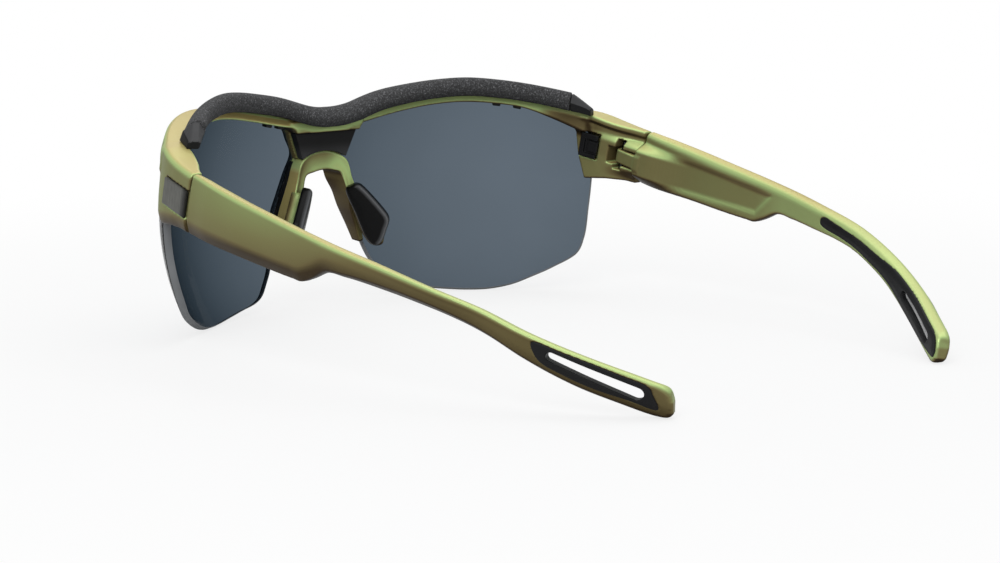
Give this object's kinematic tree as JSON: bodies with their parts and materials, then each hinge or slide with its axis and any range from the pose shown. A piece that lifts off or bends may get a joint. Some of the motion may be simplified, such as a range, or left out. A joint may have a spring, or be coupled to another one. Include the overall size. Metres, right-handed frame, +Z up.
{
  "type": "sports sunglasses",
  "caption": "Half-rim wraparound sports sunglasses with domed smoke lenses, foam brow bar, nose bridge with soft pads, folding temples with rubber grips and lens latches.",
  "frame": {"origin": "under the middle of the object's box, on the table that the lenses and the temple tips rest on", "axes": "+X towards the wearer's left, +Y from the front of the face back to the ears, +Z up"},
  "size_m": [0.1428, 0.157, 0.0528],
  "materials": {
    "frame_paint": "satin olive-gold paint with a metallic sheen",
    "black_plastic": "satin black plastic",
    "soft_rubber": "soft matt black rubber",
    "foam": "charcoal open-cell foam with pale flecks",
    "lens_smoke": "clear smoke tint, polished",
    "badge_grey": "satin dark grey",
    "pin_steel": "plain steel"
  },
  "bodies": {
    "front": {"front_frame": "frame_paint", "nose_bridge": "frame_paint", "lens_left": "lens_smoke", "lens_right": "lens_smoke", "bridge_insert": "black_plastic", "pad_holder_left": "black_plastic", "pad_holder_right": "black_plastic", "brow_carrier": "black_plastic", "brow_cap_left": "black_plastic", "brow_cap_right": "black_plastic", "nose_pad_left": "soft_rubber", "nose_pad_right": "soft_rubber", "brow_foam": "foam", "hinge_pin_left": "pin_steel", "hinge_pin_right": "pin_steel", "badge_plate_left": "badge_grey", "badge_plate_right": "badge_grey"},
    "temple_left": {"temple_left": "frame_paint", "tip_grip_left": "soft_rubber"},
    "temple_right": {"temple_right": "frame_paint", "tip_grip_right": "soft_rubber"},
    "latch_left": {"lens_latch_left": "black_plastic"},
    "latch_right": {"lens_latch_right": "black_plastic"}
  },
  "joints": [
    {"name": "temple_left_fold", "type": "hinge", "parent": "front", "child": "temple_left", "pos_m": [0.0658, -0.03739, 0.03325], "axis": [0, 0.2367, 0.9716], "range_deg": [0, 86]},
    {"name": "temple_right_fold", "type": "hinge", "parent": "front", "child": "temple_right", "pos_m": [-0.0658, -0.03739, 0.03325], "axis": [0, -0.2367, -0.9716], "range_deg": [0, 72]},
    {"name": "latch_left_open", "type": "hinge", "parent": "front", "child": "latch_left", "pos_m": [0.06148, -0.04242, 0.0353], "axis": [0, -0.2367, -0.9716], "range_deg": [0, 24]},
    {"name": "latch_right_open", "type": "hinge", "parent": "front", "child": "latch_right", "pos_m": [-0.06148, -0.04242, 0.0353], "axis": [0, 0.2367, 0.9716], "range_deg": [0, 24]}
  ]
}
